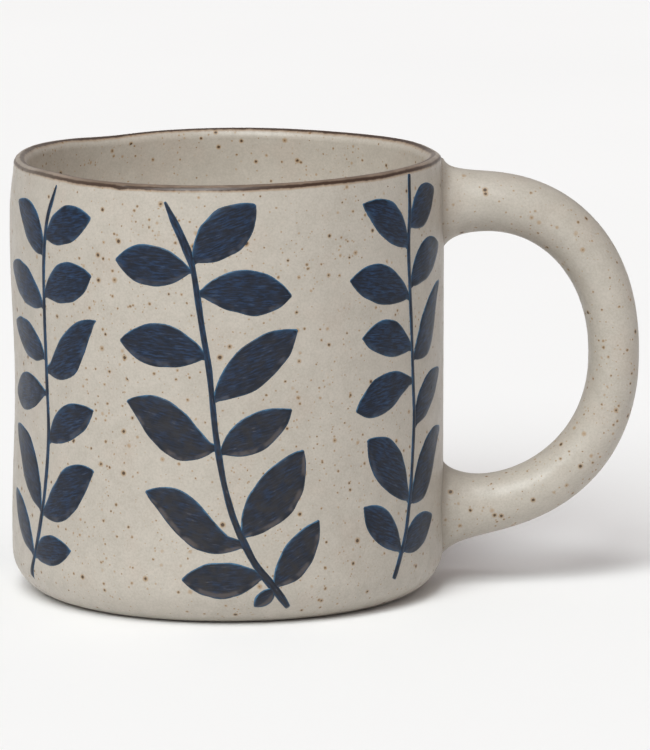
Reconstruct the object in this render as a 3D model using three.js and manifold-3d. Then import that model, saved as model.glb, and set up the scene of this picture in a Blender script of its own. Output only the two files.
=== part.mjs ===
// A stoneware mug: a round cup with a gently uneven wall, a round-section D handle luted on to it,
// an iron band of glaze over its lip, and six vines laid on the wall in a slightly raised coat.
// Millimetres, +Z up. The origin is on the cup's axis at the face it stands on. The front looks along -Y
// and the handle stands out along +X.

import * as THREE from 'three';
import { mergeVertices } from 'three/addons/utils/BufferGeometryUtils.js';
import Module from 'manifold-3d';

// ---- driving dimensions ----
const CUP_DIAMETER = 89;
const CUP_HEIGHT = 90; // to the top of the lip band
const WALL = 4;
const LIP_WALL = 3;
const FLOOR = 5;
const HEEL_RADIUS = 8.5; // the rounding between the wall and the face it stands on
const INNER_HEEL_RADIUS = 9;
const LIP_TAPER_DEPTH = 30; // how far below the lip the wall has its whole thickness again

const BAND_THICKNESS = 0.4;
const BAND_DEPTH = 0.2; // how far the band reaches down outside, below the rounding of the lip

const HANDLE_BELOW_LIP = 9.6; // from the top of the cup down to the upper arm's centre line
const HANDLE_ABOVE_BASE = 16.8; // from the base up to the lower arm's centre line
const HANDLE_REACH = 35.6; // from the wall to the centre line where it is furthest out
const UPPER_ARM = 7.7; // the straight stretch of the upper arm, next to the wall
const LOWER_ARM = 3.2;
const UPPER_THICKNESS = 12.2; // of the handle at its upper joint
const LOWER_THICKNESS = 11.4;
const GRIP_THINNING = 1.3; // how much thinner the handle is where it is furthest out
const HANDLE_EXTRA_WIDTH = 0.8; // the whole handle is this much wider than thick
const UPPER_FULLNESS = 0.92; // 1 would turn the grip as an ellipse does, and less turns it more squarely
const LOWER_FULLNESS = 0.93;
const FLARE = 3; // how far each end spreads all round, where it meets the wall
const FLARE_LENGTH = 2.5;

const COAT = 0.3; // thickness of a vine's leaves
const STEM_WIDTH = 1.3;
const STEM_EXTRA = 0.1; // the stem's coat is thicker than the leaves' by this, outwards and inwards
const LEAF_END = 0.3; // half the width of a leaf's tip
const LEAF_ROOT = 0.85; // and of its root
const LEAF_BLUNTNESS = 0.88; // less than 1 fills out a leaf's ends
const PATTERN_RADIUS = 44.5; // the cup that the vines below are drawn for: they stretch with it
const PATTERN_HEIGHT = 90;

const GAP = 0.3; // clearance between a piece and the one it lies on

// ---- the hand-made unevenness ----
const WAIST_DEPTH = 0.2; // how far the wall swings in and out over its height
const WAIST_PERIOD = 61;
const WAIST_CREST = 74; // height of the upper swelling
const WALL_SHIFT = 0.25; // the wall stands this much further out on the handle's side
const LIP_LEAN = 0.6; // how far the wall leans in at the lip
const LIP_LEAN_DEPTH = 10; // the height over which it does
const RIM_WAVES = [
  { waves: 1, height: 0.45, crest: 110 },
  { waves: 2, height: 0.3, crest: 75 },
];
// A bump or a dip of the rim: its angle and how many degrees it spreads over.
const RIM_BUMPS = [
  { height: 0.45, angle: 175, spread: 28 },
  { height: -0.35, angle: -145, spread: 11 },
  { height: 0.3, angle: -110, spread: 18 },
  { height: 0.35, angle: -57, spread: 12 },
  { height: -0.5, angle: 100, spread: 14 },
];
const RIM_WAVE_START = 60; // height above which the rim's waves are felt

// ---- mesh fineness ----
const ROUND_STEPS = 54;
const WALL_STEPS = 6;
const LIP_STEPS = 4;
const HEEL_STEPS = 5;
const HANDLE_SIDES = 14;
const HANDLE_STEPS = 30;
const GRIP_POINTS = 12;
const LEAF_STEPS = 5;
const STEM_STEPS = 28;

// Each vine has its place round the wall, in degrees from the front towards the handle, its stem as
// [sideways, height] points, and its leaves as [height on the stem, sideways reach, rise to the tip, spread
// above the midline at one third and at two thirds of its length, spread below it at the same places].
const FRONT_VINE = {
  stem: [[-12.6, 86.9], [-9.1, 80], [-6.9, 74.5], [-6.2, 70], [-4.8, 60], [-3.6, 53], [-2.4, 40],
    [-1.5, 34], [-0.6, 29], [1, 23], [2.6, 19], [5.5, 13], [9.5, 8], [12.7, 3.7]],
  leaves: [
    [74.5, 12.8, 11.7, 4.2, 4.6, 4, 4.3], [72.8, -16.6, 1.7, 3.6, 4.2, 3.9, 4.1],
    [68.1, 19.1, -0.7, 4.9, 5, 3.1, 4], [55.3, -18.5, 2.6, 4.6, 4.9, 3.2, 3.6],
    [46.5, 17.4, 14, 4, 4.5, 3.8, 3.8], [36.8, -19.3, 8.6, 3.1, 4, 5.9, 4.2],
    [35.8, 15, 8.6, 3.4, 3.4, 3.7, 3.6], [18.8, 12.9, 17.3, 3.8, 3.8, 5, 5.1],
    [17, -20.6, 10.5, 1.9, 3.5, 5.2, 3.7], [10.8, -16.6, -0.8, 3, 3.2, 3.8, 3.9],
    [8.3, 9.6, 13.3, 2.8, 2.7, 3.7, 3.3], [8.4, -3.8, -4.1, 1.2, 1.4, 1.8, 1.8],
  ],
};
const LEFT_VINE = {
  stem: [[3.1, 88], [0.8, 81.5], [-0.1, 77], [-0.7, 71], [-1, 57], [-0.9, 47], [-0.2, 37],
    [-0.5, 30.5], [-1.4, 23], [-3.2, 16], [-5.5, 10], [-7.8, 5.5]],
  leaves: [
    [77, 13.7, 5.5, 3.7, 4.1, 3.2, 2.8], [73.3, -13.1, 9.7, 4.6, 4.6, 2.6, 1.5],
    [64.8, 14.6, 5.7, 4.2, 4.6, 3, 3.4], [62.5, -17.5, 6.5, 4, 4.2, 3.1, 3.2],
    [52, -16.3, 5.5, 3.6, 3.5, 3.2, 3.1], [49.3, 15.7, 12.1, 1.9, 3, 5.4, 3.2],
    [44.8, -17.7, -2.2, 3.6, 4, 2.9, 3.8], [35, 13.9, 8, 4, 4, 2.7, 2.8],
    [20.3, -15.7, 15.6, 4.7, 5.8, 2.5, 1.8], [19.8, 16.1, 10.8, 2.8, 4.4, 4.8, 3.4],
    [10.5, -12, 12.2, 2.8, 3.2, 2.6, 2.8], [10.8, 12.9, 2.7, 3.6, 3.4, 2.4, 2.6],
  ],
};
const RIGHT_VINE = {
  stem: [[0, 88.3], [-0.3, 86], [-1, 78.5], [-1.2, 74], [-0.7, 67], [0, 59], [0.8, 47], [1.3, 40.5],
    [1.1, 36.5], [0.2, 27], [-0.4, 23], [-1.8, 16], [-3.2, 12.7], [-5.8, 7]],
  leaves: [
    [78.5, 12.6, 6.2, 4, 4.1, 3.2, 2.9], [74.5, -13.6, 10, 4.2, 4.4, 2.6, 2.1],
    [66.5, 15, 6.7, 5, 4.9, 2.3, 2.6], [64.3, -17.6, 5.2, 4.1, 4.8, 2.6, 3],
    [53.9, -15.3, 3.6, 4.2, 4.8, 2.5, 2.6], [51.5, 14.5, 14.2, 2.6, 3.4, 5, 2.4],
    [47.3, -17.2, -4.6, 4.3, 4.5, 2.1, 3.2], [37.5, 14.1, 10, 4.5, 4.4, 2.1, 2],
    [22.4, -13, 14.3, 3.8, 5.1, 3.4, 3.6], [22, 16.7, 13.2, 4, 5.2, 4, 1.8],
    [12.5, -11.2, 10.6, 2.8, 3.3, 2.9, 3.1], [12.5, 13.6, 5.2, 3.8, 3.6, 3, 2.7],
  ],
};
const VINES = [
  { name: 'vine_front', turn: 0, mirrored: false, design: FRONT_VINE },
  { name: 'vine_left', turn: -55, mirrored: false, design: LEFT_VINE },
  { name: 'vine_right', turn: 56.5, mirrored: false, design: RIGHT_VINE },
  { name: 'vine_back', turn: 180, mirrored: true, design: FRONT_VINE },
  { name: 'vine_back_left', turn: -125, mirrored: true, design: LEFT_VINE },
  { name: 'vine_back_right', turn: 123.5, mirrored: true, design: RIGHT_VINE },
];

// ---- sizes that follow from them ----
const RADIUS = CUP_DIAMETER / 2;
const BAND_ROUND = LIP_WALL / 2; // radius of the lip as it is seen, with its band
const LIP_ROUND = BAND_ROUND - BAND_THICKNESS - GAP; // radius of the clay under the band
const LIP_CENTRE_R = RADIUS - BAND_ROUND;
const LIP_CENTRE_Z = CUP_HEIGHT - BAND_ROUND;
const BAND_FOOT = LIP_CENTRE_Z - BAND_DEPTH;
const SHOULDER = BAND_FOOT - GAP; // the top of the wall outside, where it steps in under the band
const HANDLE_TOP = CUP_HEIGHT - HANDLE_BELOW_LIP;

const radians = THREE.MathUtils.degToRad;
const wasm = await Module();
wasm.setup();

// ---- helpers ----

// The wall's wandering, added to a point at radius r and height z, at an angle round the cup.
function wander(angle, r, z) {
  const waist = WAIST_DEPTH * Math.cos((2 * Math.PI * (z - WAIST_CREST)) / WAIST_PERIOD);
  const swing = waist * (1 - Math.sin(angle)) + WALL_SHIFT * Math.sin(angle);
  const lean = LIP_LEAN * THREE.MathUtils.smoothstep(z, CUP_HEIGHT - LIP_LEAN_DEPTH, CUP_HEIGHT);
  const outwards = (swing - lean) * (r / RADIUS);
  const share = THREE.MathUtils.smoothstep(z, RIM_WAVE_START, CUP_HEIGHT);
  let upwards = 0;
  for (const { waves, height, crest } of RIM_WAVES) {
    upwards += height * Math.cos(waves * (angle - radians(crest)));
  }
  for (const { height, angle: place, spread } of RIM_BUMPS) {
    const away = THREE.MathUtils.euclideanModulo(THREE.MathUtils.radToDeg(angle) - place + 180, 360) - 180;
    upwards += height * Math.exp(-((away / spread) ** 2));
  }
  return { r: r + outwards, z: z + upwards * share };
}

// A point of the wandering wall, by its angle, its nominal radius and its nominal height.
function onCup(angle, r, z) {
  const moved = wander(angle, r, z);
  return new THREE.Vector3(moved.r * Math.sin(angle), -moved.r * Math.cos(angle), moved.z);
}

// Moves every vertex of a geometry to place(x, y, z).
function reshape(geometry, place) {
  const position = geometry.attributes.position;
  for (let i = 0; i < position.count; i++) {
    const point = place(position.getX(i), position.getY(i), position.getZ(i));
    position.setXYZ(i, point.x, point.y, point.z);
  }
  return geometry;
}

// Only the positions, with shared corners merged, which is what the solid library takes.
function merged(geometry) {
  const bare = geometry.clone();
  bare.deleteAttribute('normal');
  bare.deleteAttribute('uv');
  return mergeVertices(bare, 1e-5);
}

function toSolid(geometry) {
  const bare = merged(geometry);
  return new wasm.Manifold(new wasm.Mesh({
    numProp: 3,
    vertProperties: new Float32Array(bare.attributes.position.array),
    triVerts: new Uint32Array(bare.index.array),
  }));
}

function toGeometry(solid) {
  const { vertProperties, triVerts } = solid.getMesh();
  const geometry = new THREE.BufferGeometry();
  geometry.setAttribute('position', new THREE.BufferAttribute(new Float32Array(vertProperties), 3));
  geometry.setIndex(new THREE.BufferAttribute(new Uint32Array(triVerts), 1));
  geometry.computeVertexNormals();
  return geometry;
}

// Points of an arc in a profile, from one angle to another, in degrees.
function arc(r, z, radius, from, to, steps) {
  return Array.from({ length: steps + 1 }, (_, i) => {
    const angle = radians(from + ((to - from) * i) / steps);
    return new THREE.Vector2(r + radius * Math.cos(angle), z + radius * Math.sin(angle));
  });
}

// Turns a profile round the cup's axis and gives it the wall's wandering.
function turned(profile) {
  const geometry = new THREE.LatheGeometry(profile, ROUND_STEPS);
  geometry.rotateX(Math.PI / 2);
  return reshape(geometry, (x, y, z) => onCup(Math.atan2(x, -y), Math.hypot(x, y), z));
}

// The outside of the cup from its base to its shoulder, as a profile this much proud of it.
function outsideProfile(proud) {
  const heel = arc(RADIUS - HEEL_RADIUS, HEEL_RADIUS, HEEL_RADIUS + proud, -90, 0, HEEL_STEPS);
  const wall = Array.from({ length: WALL_STEPS }, (_, i) => {
    const height = THREE.MathUtils.lerp(HEEL_RADIUS, SHOULDER, (i + 1) / WALL_STEPS);
    return new THREE.Vector2(RADIUS + proud, height);
  });
  return [...heel, ...wall];
}

// ---- the cup ----
function cupBody() {
  const innerRadius = RADIUS - WALL;
  const taperEnd = CUP_HEIGHT - LIP_TAPER_DEPTH;
  const innerHeel = FLOOR + INNER_HEEL_RADIUS;
  const profile = [
    new THREE.Vector2(0, 0),
    ...outsideProfile(0),
    new THREE.Vector2(LIP_CENTRE_R + LIP_ROUND, SHOULDER),
    ...arc(LIP_CENTRE_R, LIP_CENTRE_Z, LIP_ROUND, 0, 180, LIP_STEPS),
    new THREE.Vector2(LIP_CENTRE_R - LIP_ROUND, LIP_CENTRE_Z - GAP),
    new THREE.Vector2(LIP_CENTRE_R - BAND_ROUND, LIP_CENTRE_Z - GAP),
    new THREE.Vector2(innerRadius, taperEnd),
    new THREE.Vector2(innerRadius, (taperEnd + innerHeel) / 2),
    ...arc(innerRadius - INNER_HEEL_RADIUS, innerHeel, INNER_HEEL_RADIUS, 0, -90, HEEL_STEPS - 1),
    new THREE.Vector2(0, FLOOR),
  ];
  return turned(profile);
}

// The band follows the lip from outside to inside, and lies flush with the wall.
function lipBand() {
  const insideRound = BAND_ROUND - BAND_THICKNESS;
  const profile = [
    new THREE.Vector2(LIP_CENTRE_R + insideRound, BAND_FOOT),
    new THREE.Vector2(LIP_CENTRE_R + BAND_ROUND, BAND_FOOT),
    ...arc(LIP_CENTRE_R, LIP_CENTRE_Z, BAND_ROUND, 0, 180, LIP_STEPS),
    ...arc(LIP_CENTRE_R, LIP_CENTRE_Z, insideRound, 180, 0, LIP_STEPS),
    new THREE.Vector2(LIP_CENTRE_R + insideRound, BAND_FOOT),
  ];
  return turned(profile);
}

// ---- the handle ----

// The centre line: out along the upper arm, round the grip and back along the lower arm.
function handleLine() {
  const inside = RADIUS - WALL;
  const middle = (HANDLE_TOP + HANDLE_ABOVE_BASE) / 2;
  const rise = (HANDLE_TOP - HANDLE_ABOVE_BASE) / 2;
  const points = [new THREE.Vector3(inside, 0, HANDLE_TOP)];
  for (let i = 0; i <= GRIP_POINTS; i++) {
    const angle = (Math.PI * i) / GRIP_POINTS;
    const [arm, fullness] = i < GRIP_POINTS / 2 ? [UPPER_ARM, UPPER_FULLNESS] : [LOWER_ARM, LOWER_FULLNESS];
    const out = RADIUS + arm + (HANDLE_REACH - arm) * Math.sin(angle) ** fullness;
    const up = Math.sign(Math.cos(angle)) * Math.abs(Math.cos(angle)) ** fullness;
    points.push(new THREE.Vector3(out, 0, middle + rise * up));
  }
  points.push(new THREE.Vector3(inside, 0, HANDLE_ABOVE_BASE));
  return new THREE.CatmullRomCurve3(points);
}

function handle() {
  const line = handleLine();
  const rod = new THREE.CylinderGeometry(1, 1, 1, HANDLE_SIDES, HANDLE_STEPS);
  const sideways = new THREE.Vector3(0, 1, 0);
  reshape(rod, (x, y, z) => {
    const along = 0.5 - y;
    const centre = line.getPointAt(along);
    const tangent = line.getTangentAt(along);
    const outer = new THREE.Vector3().crossVectors(sideways, tangent);
    const grip = Math.sin(Math.PI * along) ** 6;
    const fromWall = Math.max(0, centre.x - RADIUS);
    const spread = FLARE * Math.exp(-fromWall / FLARE_LENGTH);
    const thickness = THREE.MathUtils.lerp(UPPER_THICKNESS, LOWER_THICKNESS, along);
    const halfThick = (thickness - GRIP_THINNING * grip) / 2 + spread;
    const halfWide = halfThick + HANDLE_EXTRA_WIDTH / 2;
    return centre.addScaledVector(outer, x * halfThick).addScaledVector(sideways, z * halfWide);
  });
  const cup = turned([
    new THREE.Vector2(0, -GAP),
    ...outsideProfile(GAP),
    new THREE.Vector2(RADIUS + GAP, CUP_HEIGHT + FLARE),
    new THREE.Vector2(0, CUP_HEIGHT + FLARE),
  ]);
  return toGeometry(toSolid(rod).subtract(toSolid(cup)));
}

// ---- the vines ----

// Nominal radius of the outside of the cup at a height: the wall's, or less where the heel rounds it.
function outsideRadius(height) {
  const drop = THREE.MathUtils.clamp(HEEL_RADIUS - height, 0, HEEL_RADIUS);
  return RADIUS - HEEL_RADIUS + Math.sqrt(HEEL_RADIUS ** 2 - drop ** 2);
}

// Sideways place of a stem at a height.
function stemPlace(stem, height) {
  const i = stem.findIndex(([, z], k) => k > 0 && z <= height);
  const [upper, lower] = [stem[i - 1], stem[i]];
  const share = (height - lower[1]) / (upper[1] - lower[1]);
  return THREE.MathUtils.lerp(lower[0], upper[0], share);
}

// Half the width of a leaf along it, through its spread at one third and at two thirds of its length.
function leafSpread(share, first, second) {
  const root = 3 * first - 1.5 * second;
  const tip = 3 * second - 1.5 * first;
  const half = 3 * (1 - share) * share * ((1 - share) * root + share * tip);
  const fullest = 1.05 * Math.max(first, second);
  const narrowest = THREE.MathUtils.lerp(LEAF_ROOT, LEAF_END, THREE.MathUtils.smoothstep(share, 0, 0.25));
  return Math.max(narrowest, fullest * (Math.max(half, 0) / fullest) ** LEAF_BLUNTNESS);
}

function vine({ turn, mirrored, design }) {
  const side = mirrored ? -1 : 1;
  const onWall = (across, up, lift) => {
    const angle = radians(turn) + (side * across) / PATTERN_RADIUS;
    const height = (up * CUP_HEIGHT) / PATTERN_HEIGHT;
    return onCup(angle, outsideRadius(height) + lift, height);
  };

  const leafSolid = ([height, reach, rise, ...spread]) => {
    const root = new THREE.Vector2(stemPlace(design.stem, height), height);
    const along = new THREE.Vector2(reach, rise);
    const length = along.length();
    along.normalize();
    const across = new THREE.Vector2(-along.y, along.x);
    const upper = Math.sign(reach);
    const plate = new THREE.BoxGeometry(1, 1, 1, LEAF_STEPS, 2, 1);
    reshape(plate, (x, y, z) => {
      const share = x + 0.5;
      const edge = 2 * y * side;
      const [first, second] = edge * upper > 0 ? spread.slice(0, 2) : spread.slice(2);
      const half = leafSpread(share, first, second);
      const place = root.clone().addScaledVector(along, share * length);
      place.addScaledVector(across, edge * half);
      return onWall(place.x, place.y, GAP + COAT * (z + 0.5));
    });
    return toSolid(plate);
  };

  const line = new THREE.SplineCurve(design.stem.map(([x, z]) => new THREE.Vector2(x, z)));
  const ribbon = new THREE.BoxGeometry(1, 1, 1, STEM_STEPS, 1, 1);
  reshape(ribbon, (x, y, z) => {
    const share = x + 0.5;
    const place = line.getPointAt(share);
    const along = line.getTangentAt(share);
    const half = STEM_WIDTH * y * side;
    place.add(new THREE.Vector2(-along.y * half, along.x * half));
    const lift = GAP - STEM_EXTRA + (COAT + 2 * STEM_EXTRA) * (z + 0.5);
    return onWall(place.x, place.y, lift);
  });

  let solid = toSolid(ribbon);
  for (const leaf of design.leaves) {
    solid = solid.add(leafSolid(leaf));
  }
  return toGeometry(solid);
}

// ---- the assembly ----
function piece(name, geometry, color, roughness) {
  const material = new THREE.MeshStandardMaterial({ color, roughness, metalness: 0 });
  const mesh = new THREE.Mesh(geometry, material);
  mesh.name = name;
  return mesh;
}

const group = new THREE.Group();
group.add(piece('cup_body', cupBody(), '#c7c2b3', 0.45));
group.add(piece('handle', handle(), '#bfb7a8', 0.45));
group.add(piece('lip_band', lipBand(), '#513a2c', 0.4));
for (const entry of VINES) {
  group.add(piece(entry.name, vine(entry), '#22334f', 0.42));
}

export default group;
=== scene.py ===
"""A speckled stoneware mug with six painted vines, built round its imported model.

Lengths are in metres unless a name ends in _MM. The cup stands at the origin, +Z up; the front looks along
-Y and the handle stands out along +X.
"""

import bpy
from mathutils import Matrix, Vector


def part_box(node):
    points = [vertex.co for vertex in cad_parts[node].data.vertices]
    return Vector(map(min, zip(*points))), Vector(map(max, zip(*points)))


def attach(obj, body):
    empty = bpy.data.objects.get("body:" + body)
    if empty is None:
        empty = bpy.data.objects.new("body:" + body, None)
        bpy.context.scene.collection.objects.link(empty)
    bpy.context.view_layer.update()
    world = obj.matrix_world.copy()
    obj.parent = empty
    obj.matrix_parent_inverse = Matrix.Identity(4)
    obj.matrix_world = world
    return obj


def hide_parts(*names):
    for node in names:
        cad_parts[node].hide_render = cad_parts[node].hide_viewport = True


bl_info = {
    "name": "Painted stoneware mug",
    "version": (1, 0, 0),
    "blender": (4, 5, 0),
    "location": "3D View > Sidebar > Mug",
    "description": "Builds a speckled stoneware mug with painted vines round its packed model",
    "category": "Add Mesh",
}

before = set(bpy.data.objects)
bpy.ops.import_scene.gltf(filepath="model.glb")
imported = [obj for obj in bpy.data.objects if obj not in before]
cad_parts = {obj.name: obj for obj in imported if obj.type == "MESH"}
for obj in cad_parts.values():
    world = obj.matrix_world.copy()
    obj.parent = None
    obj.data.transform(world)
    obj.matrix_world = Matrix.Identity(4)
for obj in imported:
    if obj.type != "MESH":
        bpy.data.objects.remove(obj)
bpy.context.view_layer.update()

import math

import bpy
import numpy as np
from bpy.props import FloatProperty, FloatVectorProperty, PointerProperty
from mathutils import Vector, noise

MM = 0.001

# ---- the hand-made unevenness of the cup, which every piece on it follows ----
WAIST_DEPTH = 0.2 * MM
WAIST_PERIOD = 61 * MM
WAIST_CREST = 74 * MM
WALL_SHIFT = 0.25 * MM
LIP_LEAN = 0.6 * MM
LIP_LEAN_DEPTH = 10 * MM
RIM_WAVES = ((1, 0.45 * MM, 110), (2, 0.3 * MM, 75))
# A bump or a dip of the rim: its angle, its height and how many degrees it spreads over.
RIM_BUMPS = ((175, 0.45 * MM, 28), (-145, -0.35 * MM, 11), (-110, 0.3 * MM, 18), (-57, 0.35 * MM, 12),
             (100, -0.5 * MM, 14))
RIM_WAVE_START = 60 * MM

AROUND = 256  # points round the cup and its lip

# ---- the vines, drawn in millimetres for a wall of this radius ----
PATTERN_RADIUS_MM = 44.5

# A stem is a list of (sideways, height) points. A leaf is its height on the stem, its reach sideways and its
# rise to the tip, then how far it spreads above its midline at one third and at two thirds of its length, and
# how far below. The stem's widths are (height, width) points.
FRONT_VINE = {
    "stem": ((-12.6, 86.9), (-9.1, 80), (-6.9, 74.5), (-6.2, 70), (-4.8, 60), (-3.6, 53), (-2.4, 40),
             (-1.5, 34), (-0.6, 29), (1, 23), (2.6, 19), (5.5, 13), (9.5, 8), (12.7, 3.7)),
    "widths": ((3.5, 1.1), (6, 1.7), (9, 1.9), (14, 1.5), (30, 1.35),
               (73, 1.3), (77, 1.9), (83, 1.6), (87, 0.6)),
    "leaves": (
        (74.5, 12.8, 11.7, 4.2, 4.6, 4.0, 4.3), (72.8, -16.6, 1.7, 3.6, 4.2, 3.9, 4.1),
        (68.1, 19.1, -0.7, 4.9, 5.0, 3.1, 4.0), (55.3, -18.5, 2.6, 4.6, 4.9, 3.2, 3.6),
        (46.5, 17.4, 14.0, 4.0, 4.5, 3.8, 3.8), (36.8, -19.3, 8.8, 2.8, 4.6, 5.9, 3.9),
        (35.8, 15.0, 8.6, 3.4, 3.4, 3.7, 3.6), (18.8, 12.9, 17.3, 3.8, 3.8, 5.0, 5.1),
        (17.0, -20.6, 10.6, 1.6, 4.1, 5.2, 3.5), (10.8, -16.6, -0.8, 3.0, 3.2, 3.8, 3.9),
        (8.3, 9.6, 13.3, 2.8, 2.7, 3.7, 3.3), (8.4, -3.8, -4.1, 1.2, 1.4, 1.8, 1.8),
    ),
}
LEFT_VINE = {
    "stem": ((3.1, 88), (0.8, 81.5), (-0.1, 77), (-0.7, 71), (-1, 57), (-0.9, 47), (-0.2, 37),
             (-0.5, 30.5), (-1.4, 23), (-3.2, 16), (-5.5, 10), (-7.8, 5.5)),
    "widths": ((5, 1.6), (10, 1.3), (60, 1.15), (84, 1.2), (88, 0.5)),
    "leaves": (
        (77.0, 13.7, 5.5, 3.7, 4.1, 3.2, 2.8), (73.3, -13.1, 9.7, 4.6, 4.6, 2.6, 1.5),
        (64.8, 14.6, 5.7, 4.2, 4.6, 3.0, 3.4), (62.5, -17.5, 6.5, 4.0, 4.2, 3.1, 3.2),
        (52.0, -16.3, 5.5, 3.6, 3.5, 3.2, 3.1), (49.3, 15.7, 12.1, 1.9, 3.0, 5.4, 3.2),
        (44.8, -17.7, -2.2, 3.6, 4.0, 2.9, 3.8), (35.0, 13.9, 8.0, 4.0, 4.0, 2.7, 2.8),
        (20.3, -15.7, 15.6, 4.7, 5.8, 2.5, 1.8), (19.8, 16.1, 10.8, 2.8, 4.4, 4.8, 3.4),
        (10.5, -12.0, 12.2, 2.8, 3.2, 2.6, 2.8), (10.8, 12.9, 2.7, 3.6, 3.4, 2.4, 2.6),
    ),
}
RIGHT_VINE = {
    "stem": ((0, 89), (-0.3, 86), (-1, 78.5), (-1.2, 74), (-0.7, 67), (0, 59), (0.8, 47), (1.3, 40.5),
             (1.1, 36.5), (0.2, 27), (-0.4, 23), (-1.8, 16), (-3.2, 12.7), (-5.8, 7)),
    "widths": ((6.5, 1.5), (13, 1.3), (60, 1.15), (80, 1.25), (89, 1.15)),
    "leaves": (
        (78.5, 12.6, 6.2, 4.0, 4.1, 3.2, 2.9), (74.5, -13.6, 10.0, 4.2, 4.4, 2.6, 2.1),
        (66.5, 15.0, 6.7, 5.0, 4.9, 2.3, 2.6), (64.3, -17.6, 5.2, 4.1, 4.8, 2.6, 3.0),
        (53.9, -15.3, 3.6, 4.2, 4.8, 2.5, 2.6), (51.5, 14.5, 14.2, 2.6, 3.4, 5.0, 2.4),
        (47.3, -17.2, -4.6, 4.3, 4.5, 2.1, 3.2), (37.5, 14.1, 10.0, 4.5, 4.4, 2.1, 2.0),
        (22.4, -13.0, 14.3, 3.8, 5.1, 3.4, 3.6), (22.0, 16.7, 13.2, 4.0, 5.2, 4.0, 1.8),
        (12.5, -11.2, 10.6, 2.8, 3.3, 2.9, 3.1), (12.5, 13.6, 5.2, 3.8, 3.6, 3.0, 2.7),
    ),
}
# Each vine's piece, its place round the wall in degrees from the front towards the handle, which way it is
# painted, and how charcoal its lower leaves turn. The three at the back repeat the front ones the other way
# round.
VINES = {
    "vine_front": (0, 1, FRONT_VINE, 1.0),
    "vine_left": (-55, 1, LEFT_VINE, 0.45),
    "vine_right": (56.5, 1, RIGHT_VINE, 0.35),
    "vine_back": (180, -1, FRONT_VINE, 0.7),
    "vine_back_left": (-125, -1, LEFT_VINE, 0.5),
    "vine_back_right": (123.5, -1, RIGHT_VINE, 0.4),
}


def cad_radius():
    """The nominal radius of the cup: its wall swings out by the waist's depth where it is widest."""
    low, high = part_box("cup_body")
    return (high.y - low.y) / 2 - WAIST_DEPTH


def angle_from(angle, place):
    """Degrees from a place round the cup to an angle in radians, the short way."""
    return (np.degrees(angle) - place + 180) % 360 - 180


def rim_wave(angle):
    """How far the rim stands above its nominal height, at an angle round the cup."""
    rise = sum(height * np.cos(waves * (angle - math.radians(crest))) for waves, height, crest in RIM_WAVES)
    for crest, height, spread in RIM_BUMPS:
        rise = rise + height * np.exp(-(angle_from(angle, crest) / spread) ** 2)
    return rise


def cad_height():
    """The nominal height of the cup, without the highest wave of its rim."""
    highest = rim_wave(np.radians(np.arange(360))).max()
    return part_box("lip_band")[1].z - highest


def length(name, description, default):
    return FloatProperty(name=name, description=description, default=default, min=0,
                         precision=5, subtype="DISTANCE", unit="LENGTH")


def colour(name, description, default):
    return FloatVectorProperty(name=name, description=description, default=default, size=3,
                               min=0, max=1, subtype="COLOR")


def number(name, description, default):
    return FloatProperty(name=name, description=description, default=default, min=0)


class MugSizes(bpy.types.PropertyGroup):
    """The sizes of the clay and of the coats on it"""

    radius: length("Cup radius", "Outside radius of the cup", cad_radius())
    height: length("Cup height", "Height of the cup to the top of its lip", cad_height())
    wall: length("Wall", "Thickness of the wall", 4 * MM)
    lip_wall: length("Lip", "Thickness of the wall at the lip", 3 * MM)
    lip_outer: length("Outer lip", "Rounding of the lip outside", 1.15 * MM)
    lip_inner: length("Inner lip", "How far down the lip is rounded inside", 2.2 * MM)
    lip_taper: length("Lip taper", "How far below the lip the wall is at its whole thickness", 30 * MM)
    floor: length("Floor", "Thickness of the cup's floor", 5 * MM)
    heel: length("Heel", "Radius of the rounding under the wall", 8.5 * MM)
    inner_heel: length("Inner heel", "Radius of the rounding inside, at the floor", 9 * MM)
    handle_below_lip: length("Below the lip", "From the lip down to the upper arm's centre line", 9.6 * MM)
    handle_above_base: length("Above the base", "From the base up to the lower arm's centre line", 16.8 * MM)
    handle_reach: length("Reach", "From the wall to the handle's furthest centre line", 35.6 * MM)
    upper_arm: length("Upper arm", "The straight stretch of the upper arm of the handle", 7.7 * MM)
    lower_arm: length("Lower arm", "The straight stretch of the lower arm of the handle", 3.2 * MM)
    upper_thickness: length("Upper thickness", "Thickness of the handle at its upper joint", 12.2 * MM)
    lower_thickness: length("Lower thickness", "Thickness of the handle at its lower joint", 11.4 * MM)
    grip_thinning: length("Grip thinning", "How much thinner the handle is at its grip", 1.3 * MM)
    extra_width: length("Extra width", "How much wider than thick the handle is", 0.8 * MM)
    flare: length("Flare", "How far the ends of the handle spread towards the wall", 3.1 * MM)
    fillet: length("Fillet", "How far the slip at each joint is smoothed out", 1.5 * MM)
    leaf_coat: length("Leaf coat", "How proud of the wall a leaf stands", 0.15 * MM)
    stem_coat: length("Stem coat", "How proud of the wall a stem stands", 0.19 * MM)
    stem_width: FloatProperty(name="Stem width", description="Width of the stems, where 1 is as painted",
                              default=1, min=0.3, max=2)
    band_coat: length("Band coat", "How proud of the lip its band of iron stands", 0.02 * MM)


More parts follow.
